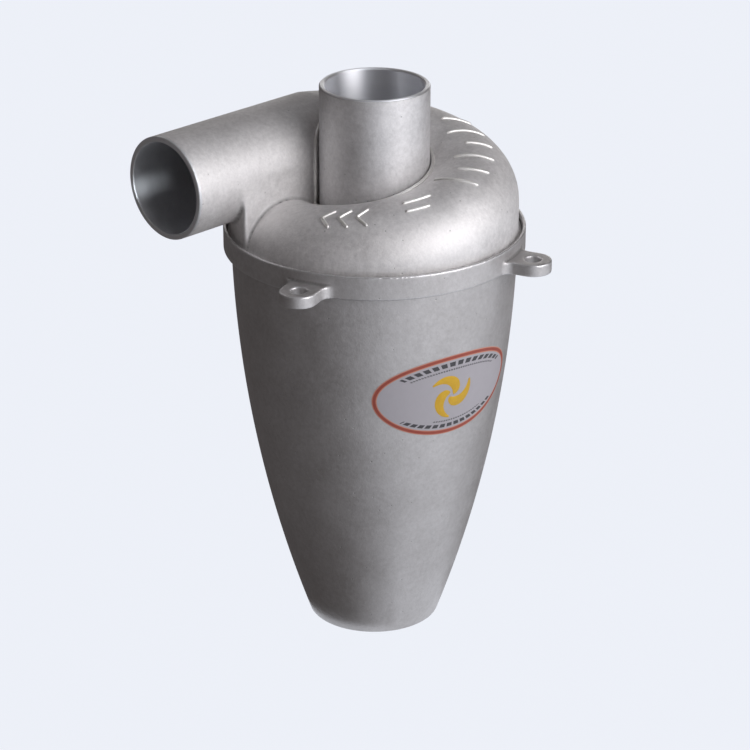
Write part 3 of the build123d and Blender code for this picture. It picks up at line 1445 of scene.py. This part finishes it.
    def ribs(self, material: Material) -> Piece:
        """Return the raised marks on the roof: an arrow that shows the flow, and plain ribs.

        Args:
            material: Their material.

        Returns:
            The piece.
        """
        forge = Forge("roof_ribs", {**self.sizes(), "Rib Radius": self.rib_radius}, True)
        size = forge.size
        lines = forge.put("GeometryNodeMeshToCurve", None, {"Mesh": forge.given})
        lines = forge.put("GeometryNodeResampleCurve", None, {"Curve": lines, "Count": 26})
        angle, reach, _ = forge.place()
        centre = size("Axis Height") - size("Drop Per Turn") * (math.pi / 2.0 - angle) / math.tau
        across = reach - size("Passage Radius")
        rise = forge.math("SQRT", (size("Pipe Radius") * size("Pipe Radius") - across * across).most(0.0))
        east, north = reach * forge.math("COSINE", angle), reach * forge.math("SINE", angle)
        place = forge.vector(east, north, centre + rise)
        lines = forge.put("GeometryNodeSetPosition", None, {"Geometry": lines, "Position": place})
        along = forge.put("GeometryNodeSplineParameter") * 2.0 - 1.0
        taper = forge.math("SQRT", 1.0 - forge.math("POWER", forge.math("ABSOLUTE", along), 24.0) * 0.85)
        beads = forge.bead(lines, size("Rib Radius"), taper, 10)
        return forge.bake("roof_ribs", beads, material, self.rib_lines())

    def bead_line(self) -> list[Triple]:
        """Return the closed line of the bead round the outlet's foot."""
        points = []
        start, end = math.pi / 2.0, math.radians(-218.0)
        for angle in np.linspace(start, end, 150):
            wide = min(max(math.radians(-150.0) - angle, 0.0), 1.0)
            reach = self.tube_radius + (1.4 + 0.4 * wide) * MM
            level = self.crown(angle, reach) + self.bead_lift
            points.append((reach * math.cos(angle), reach * math.sin(angle), level))
        side = self.passage_radius - self.pipe_radius
        reach = self.tube_radius + 1.8 * MM
        for level in np.linspace(points[-1][2], self.axis_height, 30)[1:]:
            points.append((-math.sqrt(reach**2 - side**2), side - 0.1 * MM, level))
        for turn in np.linspace(0.0, 1.0, 40)[1:-1]:
            ring = reach - 0.4 * MM * turn
            y = side + (ring - side) * turn**0.8
            lift = math.sqrt(self.pipe_radius**2 - (self.passage_radius - y) ** 2)
            points.append((-math.sqrt(max(ring**2 - y**2, 0.0)), y, self.axis_height + lift))
        return points

    def bead(self, material: Material) -> Piece:
        """Return the bead round the outlet's foot, which follows the roof and the inlet's side.

        Args:
            material: Its material.

        Returns:
            The piece.
        """
        forge = Forge("foot_bead", {"Bead Radius": self.bead_radius}, True)
        line = forge.put("GeometryNodeMeshToCurve", None, {"Mesh": forge.given})
        bead = forge.bead(line, forge.size("Bead Radius"), 1.0, 12)
        return forge.bake("foot_bead", bead, material, chain(self.bead_line()))

    def build(self) -> None:
        """Make the head's pieces."""
        skin = BlastedCasting("head_casting", (0.86, 0.846, 0.841), (0.62, 0.606, 0.601), 0.85, 0.66)
        ship(self.casting(skin.material()), "cast_head", "head")
        bore = TurnedMetal("turned_inlet", Heading.ALONG_INLET, (0.84, 0.85, 0.87), (0.68, 0.69, 0.71), 0.42)
        ship(self.mouth(bore.material()), "cast_head", "head")
        # Painted highlight: the raised marks and the foot bead take a lighter copy of the head's casting
        # colour, for the light that catches them.
        marks = BlastedCasting("raised_marks", (0.92, 0.905, 0.88), (0.78, 0.77, 0.74), rough=0.45)
        raised = marks.material()
        ship(self.ribs(raised), "cast_head")
        ship(self.bead(raised), "cast_head")


def ship(piece: Piece, slot: str, *nodes: str) -> None:
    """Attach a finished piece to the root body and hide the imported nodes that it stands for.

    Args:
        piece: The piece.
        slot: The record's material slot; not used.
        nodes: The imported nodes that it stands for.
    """
    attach(piece, ROOT)
    if nodes:
        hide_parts(*nodes)
    LOG.info("%s: %d faces", piece.name, len(piece.data.polygons))


def dress(node: str, material: Material) -> None:
    """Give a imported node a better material.

    Args:
        node: The node's name.
        material: The material for all its faces.
    """
    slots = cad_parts[node].material_slots
    for slot in slots:
        slot.material = material
    LOG.info("dressed %s", node)


def main() -> None:
    """Build the studio and every piece, in order."""
    logging.basicConfig(level=logging.INFO, format="%(name)s: %(message)s")
    Studio().build()
    barrel = Barrel()
    barrel.build()
    Label(barrel).build()
    Head().build()
    skin = BlastedCasting("outlet_tube", (0.82, 0.81, 0.815), (0.58, 0.57, 0.57), 0.82, 0.54)
    turned = TurnedMetal("outlet_bore", Heading.UPRIGHT, (0.95, 0.96, 0.99), (0.84, 0.85, 0.88), 0.36, 0.8)
    tube = BoredCasting("outlet_tube", skin, turned, Bore(22.5 * MM, 262.1 * MM))
    dress("outlet_tube", tube.material())
    dress("rim_gasket", Rubber("gasket").material())


if __name__ == "__main__":
    main()
